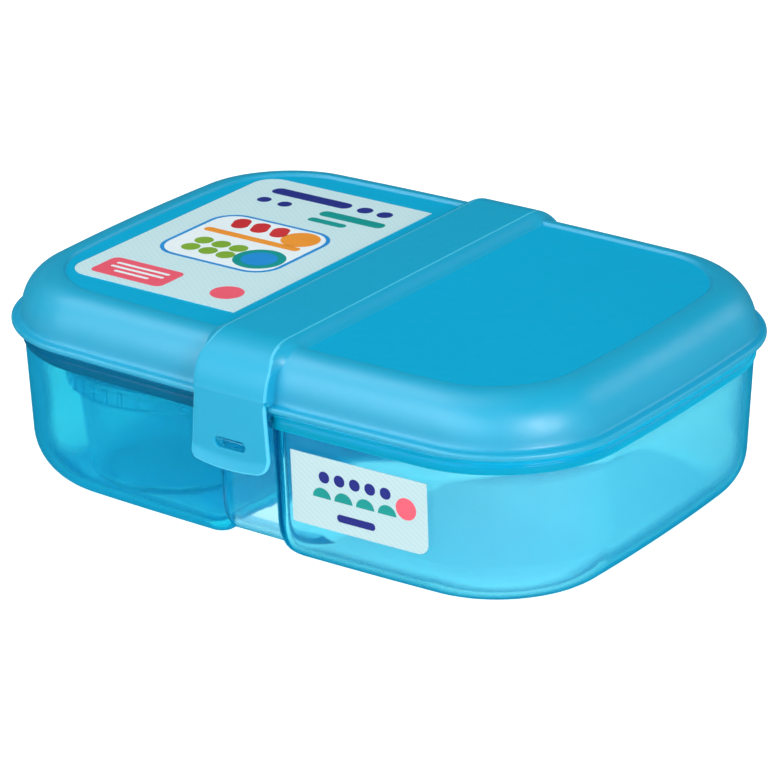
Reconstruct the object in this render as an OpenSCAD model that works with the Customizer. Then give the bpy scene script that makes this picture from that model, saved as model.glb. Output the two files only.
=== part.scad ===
// A two-well lunch box: a see-through tub with a channel under its middle, a domed lid hinged at the back,
// a ribbon that runs over the lid and ends in a front clip, and a round snack pot in the front left well.
// Origin: centre of the underside. +X to the right, -Y to the front (the clip), +Z up. Millimetres.

/* [Box] */
// Length over the lid's flange
box_l = 210; // [196:2:224]
// Depth over the lid's flange
box_w = 152; // [144:0.4:160]
// Plan radius of the flange's corners
corner_r = 41; // [39:1:43]
// Wall thickness of tub and lid
wall = 2; // [1.8:0.1:2.2]

/* [Tub] */
// Height of the tub's rim
rim_z = 49.2; // [48.9:0.1:49.2]
// Draft of the tub's walls, mm in from rim to bottom curve
draft = 1.1; // [0.9:0.02:1.4]
// Radius of the curve between walls and bottom
bottom_r = 15; // [12:0.5:16]
// Half width of the channel between the wells, at the bottom
chan_w = 10.6; // [10.2:0.1:12]
// How much narrower each side of the channel is at its top
chan_t = 0.6; // [0.4:0.1:1.2]
// How far the channel's end webs stand back from the front wall
web_in = 5.3; // [4.5:0.1:6]

/* [Lid] */
// Height of the lid's crest
crest_z = 65.9; // [65:0.1:66.5]
// Width of the raised ribbon at its foot
ribbon_w = 28; // [26:0.5:30]
// Height of the ribbon's top
ribbon_z = 67.8; // [67.3:0.1:68.5]

/* [Clip] */
// Height of the clip's lower edge
clip_z = 30.1; // [29:0.1:31]
// Length of the clip's slot
slot_l = 10.6; // [9.6:0.2:12]
// Height of the clip's slot
slot_h = 3; // [2.8:0.1:3.4]

/* [Pot] */
// Radius of the pot's lid
pot_r = 30.3; // [29:0.1:30.8]
// Height of the closed pot
pot_h = 38.5; // [34:0.5:40]

/* [Hidden] */
$fn = 96;

A = box_l / 2;
B = box_w / 2;
SX = A - corner_r; // straight half length of the front
SY = B - corner_r; // straight half length of the sides
SH = 51.4;         // height at which the lid's shoulder starts
SD = 13.8;         // plan width of flange and shoulder together
EX = 2.13;         // how square the shoulder's curve is
HX = 50;           // hinges, either side of the middle
HY = B + 1.4;      // hinge axis
HZ = 47.5;
FY = -B - 1.9;     // front face of the clip
RB = 44.5;         // lower edge of the tub's rim band
SZ = 37.7;         // height of the clip's slot
potc = [-55, -35.4];
XC = chan_w - chan_t - 1; // the wells and the bridge between them meet here

function r2(v) = round(v * 100) / 100;
function rr(l) = [for (p = l) [r2(p[0]), r2(p[1])]];
function spow(v, e) = v <= 0 ? 0 : pow(v, e);
// Quarter of a superellipse from [d0, z0] (upright) to [d1, z1] (level)
function dome(d0, z0, d1, z1, a0 = 0, a1 = 90, n = 9) =
    [for (i = [0:n]) let (t = a0 + (a1 - a0) * i / n)
        [d0 + (d1 - d0) * (1 - spow(cos(t), 2 / EX)), z0 + (z1 - z0) * spow(sin(t), 2 / EX)]];
// Quarter circle about c from angle a to b
function arc(c, r, a, b, n = 7) = [for (i = [0:n]) let (t = a + (b - a) * i / n) [c[0] + r * cos(t), c[1] + r * sin(t)]];
function rev(l) = [for (i = [len(l) - 1:-1:0]) l[i]];

// A solid whose section [inset, height] follows the rounded outline; the section runs in to inset corner_r
module around(sec) {
    pts = rr([for (p = sec) [corner_r - p[0], p[1]]]);
    for (q = [[1, 1, 0], [-1, 1, 90], [-1, -1, 180], [1, -1, 270]])
        translate([q[0] * SX, q[1] * SY, 0]) rotate([0, 0, q[2]]) rotate_extrude(angle = 90) polygon(pts);
    for (s = [0, 180]) rotate([0, 0, s]) {
        translate([SX, SY, 0]) rotate([90, 0, 0]) linear_extrude(2 * SY) polygon(pts);
        translate([-SX, SY, 0]) rotate([90, 0, 90]) linear_extrude(2 * SX) polygon(pts);
    }
}
module core(z0, z1) { translate([-SX, -SY, z0]) cube([2 * SX, 2 * SY, z1 - z0]); }

// Prisms: section [y, z] along X, and section [x, z] along Y
module along_x(sec, x0, x1) { translate([x0, 0, 0]) rotate([90, 0, 90]) linear_extrude(x1 - x0) polygon(rr(sec)); }
module along_y(sec, y0, y1) { translate([0, y1, 0]) rotate([90, 0, 0]) linear_extrude(y1 - y0) polygon(rr(sec)); }

/* Tub */
WD = 2.4;                    // inset of the outer wall just under the rim band
BD = WD + draft + bottom_r;  // inset where the bottom goes level
BR = bottom_r - wall;
module tub_block() {
    around(concat([[corner_r, 0], [BD, 0]],
        rev(arc([BD, bottom_r], bottom_r, 180, 262, 7)) ,
        [[WD, RB - 0.4], [1.75, RB], [1.6, RB + 0.9], [1.5, RB + 2.7], [1.2, RB + 3], [1.2, rim_z - 0.4], [1.5, rim_z], [corner_r, rim_z]]));
    core(0, rim_z);
}
module tub_hollow() {
    around(concat([[corner_r, wall], [BD, wall]],
        rev(arc([BD, bottom_r], BR, 180, 262, 7)),
        [[WD + wall, RB - 0.4], [WD + wall - 0.1, rim_z + 1], [corner_r, rim_z + 1]]));
    core(wall, rim_z + 1);
}
// Section of one well towards the channel
module well(y0, y1) {
    xi = chan_w + wall;
    along_y(concat([[A, wall], [xi + 7, wall]], rev(arc([xi + 6.7, wall + 7], 7, 180, 262, 5)),
        [[xi - chan_t - 0.1, rim_z + 1], [A, rim_z + 1]]), y0, y1);
}
module web() {
    d = web_in;
    along_x(concat(
        [[-(B - BD - d), 0]], [for (p = rev(arc([BD, bottom_r], bottom_r, 180, 262, 7))) [-(B - p[0] - d), p[1]]],
        [[-(B - WD - d), RB], [-(B - WD - d), rim_z], [-(B - WD - d - wall), rim_z], [-(B - WD - d - wall), RB]],
        [for (p = arc([BD, bottom_r], BR, 180, 262, 7)) [-(B - p[0] - d), p[1]]],
        [[-(B - BD - d), wall]]), -chan_w - 0.6, chan_w + 0.6);
}
module ear(x) {
    translate([x - 1.5, HY, HZ]) rotate([0, 90, 0]) cylinder(h = 3, r = 2.2);
    translate([x - 1.5, B - 2.6, HZ - 2.2]) cube([3, HY - B + 2.6, 3.4]);
}
module tub() {
    difference() {
        tub_block();
        intersection() { tub_hollow(); union() { well(-B, B); mirror([1, 0, 0]) well(-B, B); } }
        // channel, open below and at both ends under the ribbon
        along_y([[-chan_w, -1], [chan_w, -1], [chan_w - chan_t, 40.5], [XC, 41.5], [-XC, 41.5], [chan_t - chan_w, 40.5]], -B, B);
        for (s = [0, 180]) rotate([0, 0, s]) translate([-chan_w - 0.4, -B, -1]) cube([2 * chan_w + 0.8, WD + web_in, rim_z + 2]);
        // passage for the lid's inner rim from one well to the other
        for (s = [0, 180]) rotate([0, 0, s]) translate([-chan_w - 2, -B + WD + wall - 0.3, RB]) cube([2 * chan_w + 4, web_in - wall + 0.3, 10]);
        // dip in the wall between the wells
        translate([-chan_w - 2, -(B - WD - web_in - wall), 43.5]) cube([2 * chan_w + 4, 2 * (B - WD - web_in - wall), 10]);
    }
    web();
    rotate([0, 0, 180]) web();
    // catch for the clip
    translate([-6.5, FY + 2.3, SZ - 6]) cube([13, -(FY + 2.3) - (B - WD - web_in) + 0.6, 10.4]);
    along_x([[FY + 2.8, SZ - 1.4], [FY + 0.9, SZ - 0.7], [FY + 0.9, SZ + 0.7], [FY + 2.8, SZ + 0.9]], -4.6, 4.6);
}
module tub_slice(x0, x1) color([0.35, 0.78, 0.92, 0.5]) intersection() {
    tub();
    translate([x0, -B - 5, -1]) cube([x1 - x0, 2 * B + 10, rim_z + 2]);
}
module right_well() tub_slice(XC, A + 5);
module left_wells() tub_slice(-A - 5, -XC);
// Low wall between the two left wells
module well_divider() color([0.35, 0.78, 0.92, 0.5]) intersection() {
    along_x([[-3.3, 1], [-1.3, 1], [-1.5, 43.5], [-3.1, 43.5]], -A, 0);
    tub_hollow();
    mirror([1, 0, 0]) well(-B, B);
}
module channel_bridge() tub_slice(-XC, XC); // bridge, the channel's end webs and the catch
// Two ears on the rim band's rear face, and the pin between them
module hinge_ears(s) color([0.3, 0.75, 0.9]) difference() {
    union() {
        ear(s * HX - 6.3);
        ear(s * HX + 6.3);
        translate([s * HX - 7, HY, HZ]) rotate([0, 90, 0]) cylinder(h = 14, r = 1.2);
    }
    tub_block();
}
module hinge_ears_left() hinge_ears(-1);
module hinge_ears_right() hinge_ears(1);

/* Lid */
function lid_outer() = concat(
    [[1.0, 49.5], [0.3, 49.7], [0, 50.4], [0.1, 51.0], [0.6, 51.45], [1.4, 51.6], [2.1, 51.7], [2.65, 52.1], [2.95, 52.9]],
    dome(2.9, SH, SD, crest_z, 18, 90, 9),
    [[SD + 0.7, crest_z - 0.1], [SD + 1.3, crest_z - 0.8], [SD + 1.9, crest_z - 1]]);
module lid_rim() around(concat(lid_outer(), [[corner_r, crest_z - 1], [corner_r, crest_z - 1 - wall + 0.2], [SD + 2.2, crest_z - 1 - wall + 0.2]],
    rev(dome(4.9, SH, SD + 0.5, crest_z - wall, 22, 90, 7)),
    [[6.1, 52.2], [6.1, 46.8], [5.0, 46.6], [4.8, 49.5]]));
module lid_shell() color([0.2, 0.68, 0.85]) {
    lid_rim();
    core(crest_z - 0.8 - wall, crest_z - 1);
}
// Hook on the rear of the flange, open downward, that clips over a hinge pin
module hinge_hook(s) color([0.2, 0.68, 0.85]) difference() {
    union() {
        translate([s * HX - 4.6, HY, HZ]) rotate([0, 90, 0]) cylinder(h = 9.2, r = 2.2);
        along_x([[B - 1.4, 49.6], [HY - 2.05, 48.3], [HY + 2.05, 48.3], [HY + 1.9, 50.1], [HY + 0.9, 51.1], [B - 1.4, 51.3]], s * HX - 4.6, s * HX + 4.6);
    }
    translate([s * HX - 5, HY, HZ]) rotate([0, 90, 0]) cylinder(h = 10, r = 1.25);
    translate([s * HX - 5, HY - 1, HZ - 3]) cube([10, 2, 3]);
    lid_rim();
}
module hinge_hook_left() hinge_hook(-1);
module hinge_hook_right() hinge_hook(1);

/* Ribbon: layers that step in towards its top */
module band_layer(f, w) { // f: share of the ribbon's full thickness
    q = dome(2.9 - f * 4.8, SH, SD, crest_z + f * (ribbon_z - crest_z), 0, 90, 12);
    u = dome(3.5, SH, SD, crest_z - 0.6, 0, 90, 10); // 0.6 into the lid's skin
    of = [for (p = q) if (p[1] > 53.6) [-(B - p[0]), p[1]]];
    ob = [for (p = q) if (p[1] > 51) [B - p[0], p[1]]];
    uf = [for (p = u) if (p[1] > 53.6) [-(B - p[0]), p[1]]];
    ub = [for (p = u) if (p[1] > 53.6) [B - p[0], p[1]]];
    along_x(concat([[-(B - q[0][0]), 53.2]], of, rev(ob), [[B - q[0][0], 49.6], [B - 2.2, 49.6], [B - 2.2, 51.3], [B - 3.5, 53]],
        ub, [[B - SD - 2, crest_z - 1.4], [-(B - SD - 2), crest_z - 1.4]], rev(uf), [[-(B - 3.5), 53.2]]), -w, w);
}
module ribbon_band() color([0.3, 0.74, 0.89]) {
    band_layer(0.45, ribbon_w / 2);
    band_layer(0.8, ribbon_w / 2 - 0.5);
    band_layer(1, ribbon_w / 2 - 1.1);
}

/* Front clip */
module ribbon_clip() color([0.3, 0.74, 0.89]) difference() {
    intersection() {
        along_x([[FY, 53.1], [FY, 34.6], [FY - 0.4, 33.4], [FY - 1.1, 31.8], [FY - 1.7, clip_z],
            [FY, clip_z], [FY + 0.6, 32], [FY + 1.6, 34.6], [FY + 1.6, 53.1]], -16, 16);
        along_y([[-12.9, 54], [-12.9, 50], [-13.9, 35.4], [-13.6, 33.6], [-12.6, 32.1], [-10.9, 31.1], [-6, clip_z + 0.3], [0, clip_z],
            [6, clip_z + 0.3], [10.9, 31.1], [12.6, 32.1], [13.6, 33.6], [13.9, 35.4], [12.9, 50], [12.9, 54]], FY - 2, FY + 3);
    }
    for (x = [-1, 1]) translate([x * (slot_l - slot_h) / 2, FY + 4, SZ]) rotate([90, 0, 0]) cylinder(h = 6, r = slot_h / 2);
    translate([-(slot_l - slot_h) / 2, FY - 2, SZ - slot_h / 2]) cube([slot_l - slot_h, 6, slot_h]);
}

/* Stickers */
module top_label() color([0.85, 0.94, 0.95]) {
    x0 = -82.5; x1 = -18.8; y0 = -50; y1 = 51.5; r = 7.5; t = 0.25;
    translate([0, 0, crest_z - 1]) {
        translate([x0 + r, y0, 0]) cube([x1 - x0 - r, y1 - y0, t]);
        translate([x0, y0 + r, 0]) cube([r + 1, y1 - y0 - 2 * r, t]);
        for (y = [y0 + r, y1 - r]) translate([x0 + r, y, 0]) cylinder(h = t, r = r);
    }
}
module front_label() color([0.85, 0.94, 0.95]) intersection() {
    along_x([for (p = [[0.25, 15], [0.25, 42], [-0.1, 42], [-0.1, 15]]) [-(B - WD - draft * (RB - 0.4 - p[1]) / (RB - 0.4 - bottom_r)) - p[0], p[1]]], 18, 68);
    union() {
        translate([18.6, -B, 17]) cube([42.5, 8, 22.4]);
        translate([18.6, -B, 20.5]) cube([46, 8, 18.9]);
        translate([61.1, 8 - B, 20.5]) rotate([90, 0, 0]) cylinder(h = 8, r = 3.5);
    }
}

/* Snack pot, turned about its own axis; it stands on the tub's floor */
PZ = 2;
module pot_cup() color([0.35, 0.78, 0.92, 0.6]) translate([potc[0], potc[1], PZ]) rotate_extrude()
    polygon(rr(concat([[0, 0.6], [18, 0.6], [18.6, 0], [21.5, 0]], arc([21.5, 2.6], 2.6, -75, -8, 4),
        [[pot_r - 3.2, pot_h - 9.5], [pot_r - 1.9, pot_h - 8.9], [pot_r - 1.9, pot_h - 8.3], [pot_r - 2.9, pot_h - 7.6],
         [pot_r - 2.9, pot_h - 4.6], [pot_r - 2.3, pot_h - 4.1], [pot_r - 2.3, pot_h - 3.5], [pot_r - 2.9, pot_h - 3],
         [pot_r - 2.9, pot_h - 1.6], [pot_r - 4.6, pot_h - 1.6], [pot_r - 5, pot_h - 9]],
        rev(arc([19.8, 4], 2.4, -90, -8, 4)), [[0, 1.6]])));
module pot_lid() color([0.3, 0.74, 0.89]) translate([potc[0], potc[1], PZ]) {
    rotate_extrude() polygon(rr([[0, pot_h - 1.6], [pot_r - 2.0, pot_h - 1.6], [pot_r - 2.0, pot_h - 7.6], [pot_r - 0.6, pot_h - 7.6],
        [pot_r - 0.6, pot_h - 1.8], [pot_r - 1.2, pot_h - 0.7], [pot_r - 2.2, pot_h], [pot_r - 4.2, pot_h], [pot_r - 5.2, pot_h - 0.6],
        [17, pot_h - 0.6], [16, pot_h - 0.1], [14.5, pot_h - 0.1], [13.5, pot_h - 0.6], [0, pot_h - 0.6]]));
    for (i = [0:35]) rotate([0, 0, i * 10]) translate([pot_r - 0.9, -0.7, pot_h - 7.2]) cube([0.9, 1.4, 5.2]);
}

right_well();
left_wells();
well_divider();
channel_bridge();
hinge_ears_left();
hinge_ears_right();
lid_shell();
hinge_hook_left();
hinge_hook_right();
ribbon_band();
ribbon_clip();
top_label();
front_label();
pot_cup();
pot_lid();
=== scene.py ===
import bpy
import bmesh
import math
import numpy as np
from mathutils import Matrix, Vector


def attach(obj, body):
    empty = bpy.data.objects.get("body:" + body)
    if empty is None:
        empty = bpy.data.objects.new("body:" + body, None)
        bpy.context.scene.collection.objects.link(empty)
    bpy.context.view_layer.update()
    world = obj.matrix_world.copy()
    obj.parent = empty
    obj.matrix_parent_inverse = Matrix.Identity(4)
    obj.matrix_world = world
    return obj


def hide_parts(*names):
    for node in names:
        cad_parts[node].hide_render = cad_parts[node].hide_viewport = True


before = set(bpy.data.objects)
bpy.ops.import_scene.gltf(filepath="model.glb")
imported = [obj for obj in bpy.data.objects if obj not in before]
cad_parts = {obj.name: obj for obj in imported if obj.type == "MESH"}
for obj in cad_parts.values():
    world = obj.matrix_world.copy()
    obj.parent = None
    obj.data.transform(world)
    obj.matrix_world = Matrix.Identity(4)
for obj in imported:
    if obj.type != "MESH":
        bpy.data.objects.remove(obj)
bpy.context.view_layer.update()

# ---------------------------------------------------------------- the box's own numbers, in mm
A1, B1, R1 = 101.79, 73.07, 34.15      # flange before its sides bow outward
BX, BY = 3.2, 2.86                     # how far the ends and the front bow out
FLO = 2.9                              # inset where the lid's shoulder starts
Z0, Z3 = 51.42, 65.9                   # heights at which the shoulder starts and ends
A3, B3, R3 = 86.93, 60.32, 24.3        # crest
EX = 2 / 2.13
PANEL_Z = 64.9
RIM_Z = 49.2
WALL_R = 36.7


# ---------------------------------------------------------------- materials
def srgb(r, g, b):
    def f(c):
        c /= 255
        return c / 12.92 if c <= 0.04045 else ((c + 0.055) / 1.055) ** 2.4
    return (f(r), f(g), f(b), 1.0)


class Mat:
    """A Principled material with colour, roughness and bump from its own nodes."""

    def __init__(self, name):
        self.m = bpy.data.materials.new(name)
        self.m.use_nodes = True
        self.nt = self.m.node_tree
        self.nt.nodes.clear()
        self.out = self.nt.nodes.new("ShaderNodeOutputMaterial")
        self.bsdf = self.nt.nodes.new("ShaderNodeBsdfPrincipled")
        self.nt.links.new(self.bsdf.outputs[0], self.out.inputs[0])
        self.coord = self.nt.nodes.new("ShaderNodeTexCoord")

    def node(self, kind, **inputs):
        n = self.nt.nodes.new(kind)
        for k, v in inputs.items():
            n.inputs[k.replace("_", " ")].default_value = v
        return n

    def link(self, a, b):
        self.nt.links.new(a, b)

    def noise(self, scale, detail=3.0, rough=0.5, stretch=(1, 1, 1)):
        mp = self.nt.nodes.new("ShaderNodeMapping")
        mp.inputs["Scale"].default_value = stretch
        self.link(self.coord.outputs["Object"], mp.inputs["Vector"])
        n = self.node("ShaderNodeTexNoise", Scale=scale, Detail=detail, Roughness=rough)
        self.link(mp.outputs[0], n.inputs["Vector"])
        return n.outputs["Fac"]

    def ramp(self, fac, lo, hi, to_lo, to_hi):
        n = self.nt.nodes.new("ShaderNodeMapRange")
        n.inputs["From Min"].default_value = lo
        n.inputs["From Max"].default_value = hi
        n.inputs["To Min"].default_value = to_lo
        n.inputs["To Max"].default_value = to_hi
        self.link(fac, n.inputs["Value"])
        return n.outputs["Result"]

    def mix(self, fac, a, b):
        n = self.nt.nodes.new("ShaderNodeMix")
        n.data_type = "RGBA"
        n.inputs["A"].default_value = a
        n.inputs["B"].default_value = b
        self.link(fac, n.inputs["Factor"])
        return n.outputs["Result"]

    def bump(self, fac, distance, strength=1.0, normal=None):
        n = self.node("ShaderNodeBump", Strength=strength, Distance=distance)
        self.link(fac, n.inputs["Height"])
        if normal is not None:
            self.link(normal, n.inputs["Normal"])
        return n.outputs[0]

    def shadow_tint(self, shader, tint):
        """Lamp light that meets the surface goes on through it, tinted."""
        path = self.nt.nodes.new("ShaderNodeLightPath")
        thru = self.nt.nodes.new("ShaderNodeBsdfTransparent")
        thru.inputs[0].default_value = tint
        mx = self.nt.nodes.new("ShaderNodeMixShader")
        self.link(path.outputs["Is Shadow Ray"], mx.inputs[0])
        self.link(shader, mx.inputs[1])
        self.link(thru.outputs[0], mx.inputs[2])
        self.link(mx.outputs[0], self.out.inputs[0])

    def set(self, **kw):
        for k, v in kw.items():
            self.bsdf.inputs[k.replace("_", " ")].default_value = v
        return self


def scaled(c, k):
    return (min(1, c[0] * k), min(1, c[1] * k), min(1, c[2] * k), 1.0)


def plastic(name, col, rough, spec=0.5, grain=900.0, grain_mm=0.004, vary=0.04, through=None):
    """Moulded plastic: slow drift of tone, fine grain in gloss and surface."""
    m = Mat(name)
    drift = m.noise(14.0, 2.0)
    m.link(m.mix(m.ramp(drift, 0.3, 0.7, 0, 1), scaled(col, 1 - vary), scaled(col, 1 + vary)), m.bsdf.inputs["Base Color"])
    gloss = m.noise(220.0, 4.0)
    m.link(m.ramp(gloss, 0.25, 0.75, rough * 0.88, rough * 1.12), m.bsdf.inputs["Roughness"])
    fine = m.bump(m.noise(grain, 3.0), grain_mm * 0.001, 1.0)
    slow = m.bump(m.noise(26.0, 1.0), 0.00006, 1.0, fine)
    m.link(slow, m.bsdf.inputs["Normal"])
    m.set(IOR=1.5, Specular_IOR_Level=spec)
    if through:
        m.shadow_tint(m.bsdf.outputs[0], through)
    return m.m


def clear_plastic(name, rough, haze, haze_edge, haze_col, absorb, density, tint=(0.96, 0.99, 0.995, 1), through=(0.80, 0.95, 0.98, 1), ior=1.47, edge=(0.38, 0.85)):
    """See-through tinted plastic: coloured by its depth, with a haze that closes up toward grazing edges."""
    m = Mat(name)
    drift = m.noise(12.0, 2.0)
    m.link(m.mix(m.ramp(drift, 0.3, 0.7, 0, 1), scaled(tint, 0.985), scaled(tint, 1.0)), m.bsdf.inputs["Base Color"])
    m.link(m.ramp(m.noise(160.0, 3.0), 0.25, 0.75, rough * 0.8, rough * 1.2), m.bsdf.inputs["Roughness"])
    m.link(m.bump(m.noise(30.0, 1.0), 0.00005, 1.0), m.bsdf.inputs["Normal"])
    m.set(IOR=ior, Transmission_Weight=1.0)
    hz = m.nt.nodes.new("ShaderNodeBsdfPrincipled")
    hz.inputs["IOR"].default_value = 1.45
    hz.inputs["Specular IOR Level"].default_value = 0.06
    m.link(m.mix(m.ramp(drift, 0.3, 0.7, 0, 1), scaled(haze_col, 0.97), scaled(haze_col, 1.03)), hz.inputs["Base Color"])
    m.link(m.ramp(m.noise(160.0, 3.0), 0.25, 0.75, 0.3, 0.4), hz.inputs["Roughness"])
    lw = m.node("ShaderNodeLayerWeight", Blend=0.5)
    mx = m.nt.nodes.new("ShaderNodeMixShader")
    m.link(m.ramp(lw.outputs["Facing"], edge[0], edge[1], haze, haze_edge), mx.inputs[0])
    m.link(m.bsdf.outputs[0], mx.inputs[1])
    m.link(hz.outputs[0], mx.inputs[2])
    m.shadow_tint(mx.outputs[0], through)
    vol = m.nt.nodes.new("ShaderNodeVolumeAbsorption")
    vol.inputs["Color"].default_value = absorb
    vol.inputs["Density"].default_value = density
    m.link(vol.outputs[0], m.out.inputs["Volume"])
    return m.m


LID_THROUGH = (0.45, 0.82, 0.90, 1)
LID_COL = (0.003, 0.370, 0.59, 1)
lid_mat = plastic("lid_satin", LID_COL, 0.42, spec=0.9, vary=0.02, through=LID_THROUGH)
panel_mat = plastic("lid_panel_matt", (0.004, 0.390, 0.64, 1), 0.55, spec=0.06, grain=1400, grain_mm=0.01, vary=0.02, through=LID_THROUGH)
ribbon_mat = plastic("ribbon_fine_grain", (0.003, 0.380, 0.605, 1), 0.45, spec=0.48, grain=1300, grain_mm=0.012, vary=0.02)
# lighter copy of the ribbon colour for strips along its edges: a painted highlight
highlight_strip_mat = plastic("ribbon_painted_highlight", (0.075, 0.56, 0.80, 1), 0.40, spec=0.55, vary=0.02)
THRU = (0.92, 0.98, 0.99, 1)
AQUA = (0.02, 0.872, 0.946, 1)
# deeper absorption for the left wells: painted shade
LEFT_SHADE_ABSORB = (0.0, 0.912, 0.954, 1)
tub_mat = clear_plastic("tub_clear", 0.09, 0.05, 0.96, (0.0, 0.29, 0.49, 1), AQUA, 310.0, through=THRU, edge=(0.50, 0.80))
# rim band under the lid's lip, milkier and darker: painted shade
rim_shade_mat = clear_plastic("tub_rim_painted_shade", 0.12, 0.62, 0.95, (0.0, 0.46, 0.70, 1), AQUA, 200.0, through=THRU)
# channel webs, bridge and catch, less absorbing than the tub: painted light
web_lightened_mat = clear_plastic("tub_web_painted_light", 0.09, 0.10, 0.60, (0.0, 0.47, 0.73, 1), AQUA, 165.0, through=THRU, edge=(0.55, 0.90))
# left wells and divider, a darker copy of the tub plastic: painted shade
left_shaded_mat = clear_plastic("tub_left_shaded_copy", 0.10, 0.14, 0.97, (0.0, 0.31, 0.53, 1), LEFT_SHADE_ABSORB, 540.0, through=THRU, edge=(0.48, 0.64))
# left rim band under the lid's lip, near opaque and dark: painted shade
left_rim_shade_mat = clear_plastic("tub_left_rim_painted_shade", 0.12, 0.80, 0.97, (0.0, 0.14, 0.27, 1), LEFT_SHADE_ABSORB, 540.0, through=THRU)
pot_mat = clear_plastic("pot_clear", 0.2, 0.05, 0.5, (0.0, 0.36, 0.60, 1), (0.02, 0.84, 0.936, 1), 160.0, through=THRU)
potlid_mat = clear_plastic("pot_lid_milky", 0.25, 0.10, 0.5, (0.0, 0.36, 0.60, 1), (0.02, 0.84, 0.936, 1), 120.0, through=THRU)


# ---------------------------------------------------------------- mesh helpers
def new_object(name, verts, faces, mats, smooth=True, face_mat=None, recalc=True):
    me = bpy.data.meshes.new(name)
    me.from_pydata([tuple(float(c) * 0.001 for c in v) for v in verts], [], faces)
    for m in mats:
        me.materials.append(m)
    if recalc:
        bm = bmesh.new()
        bm.from_mesh(me)
        bmesh.ops.recalc_face_normals(bm, faces=bm.faces)
        bm.to_mesh(me)
        bm.free()
    for i, p in enumerate(me.polygons):
        p.use_smooth = smooth
        if face_mat is not None:
            p.material_index = face_mat[i]
    me.update()
    ob = bpy.data.objects.new(name, me)
    bpy.context.scene.collection.objects.link(ob)
    return ob


def loft(name, rings, mats, cap_start=False, cap_end=False, loop=False, mat_of=None):
    """Quads between closed rings of equal length."""
    n = len(rings[0])
    verts = np.concatenate(rings)
    faces, fm = [], []
    k = len(rings)
    for i in range(k if loop else k - 1):
        a, b = i * n, ((i + 1) % k) * n
        for j in range(n):
            j2 = (j + 1) % n
            faces.append((a + j, a + j2, b + j2, b + j))
            fm.append(mat_of(i) if mat_of else 0)
    if cap_start:
        faces.append(tuple(range(n - 1, -1, -1)))
        fm.append(mat_of(-1) if mat_of else 0)
    if cap_end:
        faces.append(tuple((k - 1) * n + j for j in range(n)))
        fm.append(mat_of(k - 1) if mat_of else 0)
    return new_object(name, verts, faces, mats, face_mat=fm)


def sharpen(ob, angle):
    """Marks edges over an angle as sharp, so flat faces stay flat."""
    bm = bmesh.new()
    bm.from_mesh(ob.data)
    for e in bm.edges:
        if len(e.link_faces) == 2 and e.calc_face_angle(0) > math.radians(angle):
            e.smooth = False
    bm.to_mesh(ob.data)
    bm.free()


def bevel(ob, width_mm, segments=3, angle=30):
    m = ob.modifiers.new("bevel", "BEVEL")
    m.width = width_mm * 0.001
    m.segments = segments
    m.limit_method = "ANGLE"
    m.angle_limit = math.radians(angle)
    m.harden_normals = False
    return m


def apply_modifiers(ob):
    dg = bpy.context.evaluated_depsgraph_get()
    me = bpy.data.meshes.new_from_object(ob.evaluated_get(dg))
    old = ob.data
    ob.modifiers.clear()
    ob.data = me
    bpy.data.meshes.remove(old)


def bow(x, y, a, b):
    return x * (1 + BX * (1 - (y / b) ** 2) / a), y * (1 + BY * (1 - (x / a) ** 2) / b)


def arc_pts(cx, cy, r, a0, a1, n, last=False):
    t = np.radians(np.linspace(a0, a1, n + 1))
    p = np.stack([cx + r * np.cos(t), cy + r * np.sin(t)], 1)
    return p if last else p[:-1]


def line_pts(p, q, n):
    t = np.linspace(0, 1, n + 1)[:-1, None]
    return np.array(p) * (1 - t) + np.array(q) * t


def ring(a, b, r, z, nc=30, nf=44, ns=28):
    """A rounded rectangle whose sides bow outward."""
    r = min(r, a - 1, b - 1)
    p = np.concatenate([
        arc_pts(a - r, b - r, r, 0, 90, nc), line_pts((a - r, b), (-(a - r), b), nf),
        arc_pts(-(a - r), b - r, r, 90, 180, nc), line_pts((-a, b - r), (-a, -(b - r)), ns),
        arc_pts(-(a - r), -(b - r), r, 180, 270, nc), line_pts((-(a - r), -b), (a - r, -b), nf),
        arc_pts(a - r, -(b - r), r, 270, 360, nc), line_pts((a, -(b - r)), (a, b - r), ns)])
    x, y = bow(p[:, 0], p[:, 1], a, b)
    return np.stack([x, y, np.full(len(x), float(z))], 1)


def flange(d, z):
    return ring(A1 - d, B1 - d, R1 - d, z)


def shoulder(deg, down=0.0, inn=0.0):
    w = 1 - max(math.cos(math.radians(deg)), 0) ** EX
    h = max(math.sin(math.radians(deg)), 0) ** EX
    ae, be, re = A1 - FLO - inn, B1 - FLO - inn, R1 - FLO - inn
    a3, b3, r3 = A3 - inn * 0.25, B3 - inn * 0.25, R3 - inn * 0.25
    return ring(ae + (a3 - ae) * w, be + (b3 - be) * w, re + (r3 - re) * w, Z0 + (Z3 - down - Z0) * h)


def crest(d, z):
    return ring(A3 - d, B3 - d, R3 - d, z)


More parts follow.
